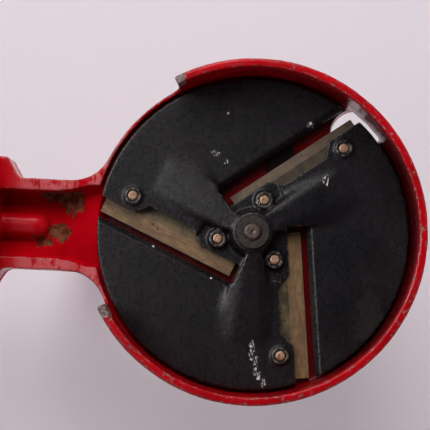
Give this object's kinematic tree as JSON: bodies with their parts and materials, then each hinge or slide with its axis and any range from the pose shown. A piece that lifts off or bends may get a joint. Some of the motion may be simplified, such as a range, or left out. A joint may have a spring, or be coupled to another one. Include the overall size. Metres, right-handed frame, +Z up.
{
  "type": "hand crank disc slicer",
  "caption": "Hand-cranked rotary disc slicer: a bladed cutter disc in a round cast pan on a neck with a table clamp, and a crank with a wooden grip.",
  "frame": {"origin": "on the underside of the clamp's upper jaw, which rests on the table top, straight below the drive shaft", "axes": "+Z up; the drive shaft lies along Y, the open outlet side with the cutter disc faces -Y, and the crank and the feed tube are on the +Y side"},
  "size_m": [0.167, 0.1752, 0.336],
  "materials": {
    "red_enamel": "gloss enamel, chipped",
    "black_casting": "worn black enamel",
    "blade_steel": "tarnished",
    "copper_rivet": "dull copper",
    "rusty_steel": "rusty",
    "grey_steel": "worn grey",
    "bronze": "oiled",
    "wood": "turned and varnished"
  },
  "bodies": {
    "frame": {"body_casting": "red_enamel", "bearing_bush": "bronze"},
    "cutter": {"cutter_disc": "black_casting", "blade_1": "blade_steel", "blade_2": "blade_steel", "blade_3": "blade_steel", "blade_rivet_1": "copper_rivet", "blade_rivet_2": "copper_rivet", "blade_rivet_3": "copper_rivet", "blade_rivet_4": "copper_rivet", "blade_rivet_5": "copper_rivet", "blade_rivet_6": "copper_rivet", "hub_washer": "grey_steel", "drive_shaft": "rusty_steel", "thrust_collar": "grey_steel", "crank_arm": "black_casting", "crank_washer": "grey_steel", "crank_nut": "grey_steel", "grip_pin": "grey_steel", "grip_washer": "grey_steel"},
    "grip": {"grip": "wood"},
    "clamp_pad": {"clamp_pad": "grey_steel"},
    "clamp_screw": {"clamp_screw": "grey_steel", "clamp_wing": "red_enamel", "wing_pin": "grey_steel"}
  },
  "joints": [
    {"name": "crank_turn", "type": "hinge", "parent": "frame", "child": "cutter", "pos_m": [0, 0.02, 0.138], "axis": [0, -1, 0], "continuous": true},
    {"name": "grip_spin", "type": "hinge", "parent": "cutter", "child": "grip", "pos_m": [0, 0.0968, 0.043], "axis": [0, -1, 0], "continuous": true},
    {"name": "pad_slide", "type": "slide", "parent": "frame", "child": "clamp_pad", "axis": [0, 0, 1], "range_m": [-0.008, 0.023]},
    {"name": "screw_turn", "type": "hinge", "parent": "clamp_pad", "child": "clamp_screw", "pos_m": [0, -0.012, -0.07], "axis": [0, 0, 1], "range_deg": [-965, 2765]}
  ],
  "couplings": [
    {"joint": "screw_turn", "follows": "pad_slide", "rad_per_m": 2094.4}
  ]
}
